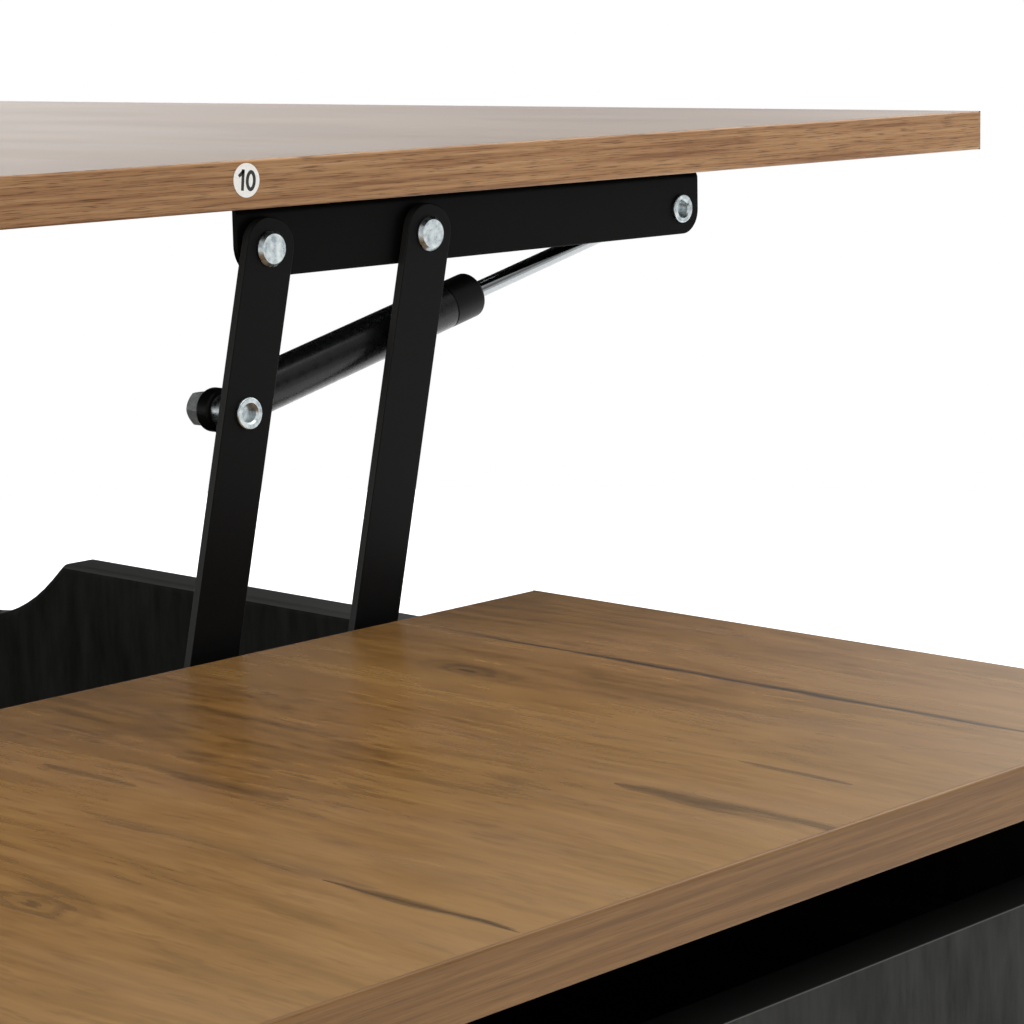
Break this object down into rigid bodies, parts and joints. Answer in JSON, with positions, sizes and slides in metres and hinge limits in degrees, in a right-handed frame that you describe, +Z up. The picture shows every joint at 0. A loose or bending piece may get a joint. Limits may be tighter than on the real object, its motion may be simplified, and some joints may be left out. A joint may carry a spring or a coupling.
{
  "type": "convertible coffee dining table",
  "caption": "Coffee table whose oak top lifts forward on gas-spring arms to dining height, with a fixed end over drawers, hidden compartment and open shelf.",
  "frame": {"origin": "on the floor under the middle of the bounding box with the top raised", "axes": "+X along the table from the drawer end, -Y towards the user and the raised top's overhang, +Z up"},
  "size_m": [1, 0.8128, 0.6005],
  "materials": {
    "oak_top": "satin melamine with oak grain along the table",
    "oak_edge": "brown edge band with straight grain",
    "black_board": "black laminate with upright grain",
    "hardboard": "thin dark fibreboard",
    "black_steel": "satin black powder coat",
    "zinc_steel": "bright zinc plate",
    "nylon": "natural nylon",
    "black_tube": "half-gloss black paint",
    "black_plastic": "black moulded plastic",
    "chrome_rod": "polished hard chrome",
    "felt": "dark pressed felt",
    "bumper": "soft dark bumper dots",
    "beech": "fluted beech dowel"
  },
  "bodies": {
    "carcass": {"fixed_top_board": "oak_top", "fixed_top_edge_band": "oak_edge", "front_apron": "black_board", "back_panel": "black_board", "end_panel": "black_board", "partition_panel": "black_board", "compartment_floor": "black_board", "bottom_panel": "black_board", "drawer_bay_side_front": "black_board", "drawer_bay_side_back": "black_board", "feet": "black_plastic", "foot_pads": "felt", "foot_screws": "zinc_steel", "rest_bumpers": "bumper", "cam_locks": "zinc_steel", "cam_bolts": "zinc_steel", "wood_dowels": "beech", "base_bracket_left": "black_steel", "base_bracket_right": "black_steel", "base_bracket_screws": "zinc_steel", "lower_pivot_rivets": "zinc_steel", "lower_pivot_washers": "nylon", "bay_runners": "zinc_steel", "bay_runner_screws": "zinc_steel"},
    "rear_arms": {"rear_arm_left": "black_steel", "rear_arm_right": "black_steel", "arm_stud_flares": "zinc_steel"},
    "front_arms": {"front_arm_left": "black_steel", "front_arm_right": "black_steel"},
    "lift_top": {"lift_top_board": "oak_top", "lift_top_edge_band": "oak_edge", "upper_bracket_left": "black_steel", "upper_bracket_right": "black_steel", "upper_pivot_rivets": "zinc_steel", "upper_pivot_washers": "nylon", "upper_bracket_screws": "zinc_steel", "rod_studs": "zinc_steel", "rod_stud_nuts": "zinc_steel"},
    "gas_rods": {"gas_spring_rods": "chrome_rod", "rod_end_eyes": "black_plastic", "gas_spring_pistons": "nylon"},
    "gas_cylinders": {"gas_cylinder_left": "black_tube", "gas_cylinder_right": "black_tube", "cylinder_guide_caps": "black_plastic", "cylinder_base_eyes": "black_plastic", "arm_studs": "zinc_steel", "arm_stud_nuts": "zinc_steel"},
    "lower_drawer": {"lower_drawer_front": "black_board", "lower_drawer_sides": "black_board", "lower_drawer_back": "black_board", "lower_drawer_bottom": "hardboard", "lower_drawer_runners": "zinc_steel", "lower_drawer_runner_screws": "zinc_steel"},
    "upper_drawer": {"upper_drawer_front": "black_board", "upper_drawer_sides": "black_board", "upper_drawer_back": "black_board", "upper_drawer_bottom": "hardboard", "upper_drawer_runners": "zinc_steel", "upper_drawer_runner_screws": "zinc_steel"}
  },
  "joints": [
    {"name": "lift", "type": "hinge", "parent": "carcass", "child": "rear_arms", "pos_m": [0.1275, 0.00998, 0.35491], "axis": [1, 0, 0], "range_deg": [-85.54, 0], "stiffness_Nm_per_rad": 2.1, "springref_deg": 137.51},
    {"name": "front_arm_swing", "type": "hinge", "parent": "carcass", "child": "front_arms", "pos_m": [0.1275, -0.05952, 0.35491], "axis": [1, 0, 0], "range_deg": [-85.54, 0]},
    {"name": "top_level", "type": "hinge", "parent": "rear_arms", "child": "lift_top", "pos_m": [0.1275, -0.04016, 0.5721], "axis": [1, 0, 0], "range_deg": [0, 85.54]},
    {"name": "gas_rod_tilt", "type": "hinge", "parent": "lift_top", "child": "gas_rods", "pos_m": [0.1275, -0.24036, 0.5721], "axis": [1, 0, 0], "range_deg": [0, 7.49]},
    {"name": "gas_stroke", "type": "slide", "parent": "gas_rods", "child": "gas_cylinders", "axis": [0, -0.9731, 0.2306], "range_m": [0, 0.06579]},
    {"name": "lower_drawer_slide", "type": "slide", "parent": "carcass", "child": "lower_drawer", "axis": [-1, 0, 0], "range_m": [0, 0.17]},
    {"name": "upper_drawer_slide", "type": "slide", "parent": "carcass", "child": "upper_drawer", "axis": [-1, 0, 0], "range_m": [0, 0.17]}
  ],
  "couplings": [
    {"joint": "front_arm_swing", "follows": "lift", "ratio": 1},
    {"joint": "top_level", "follows": "lift", "ratio": -1},
    {"joint": "gas_rod_tilt", "follows": "lift", "ratio": -0.087553},
    {"joint": "gas_stroke", "follows": "lift", "m_per_rad": -0.044066}
  ]
}
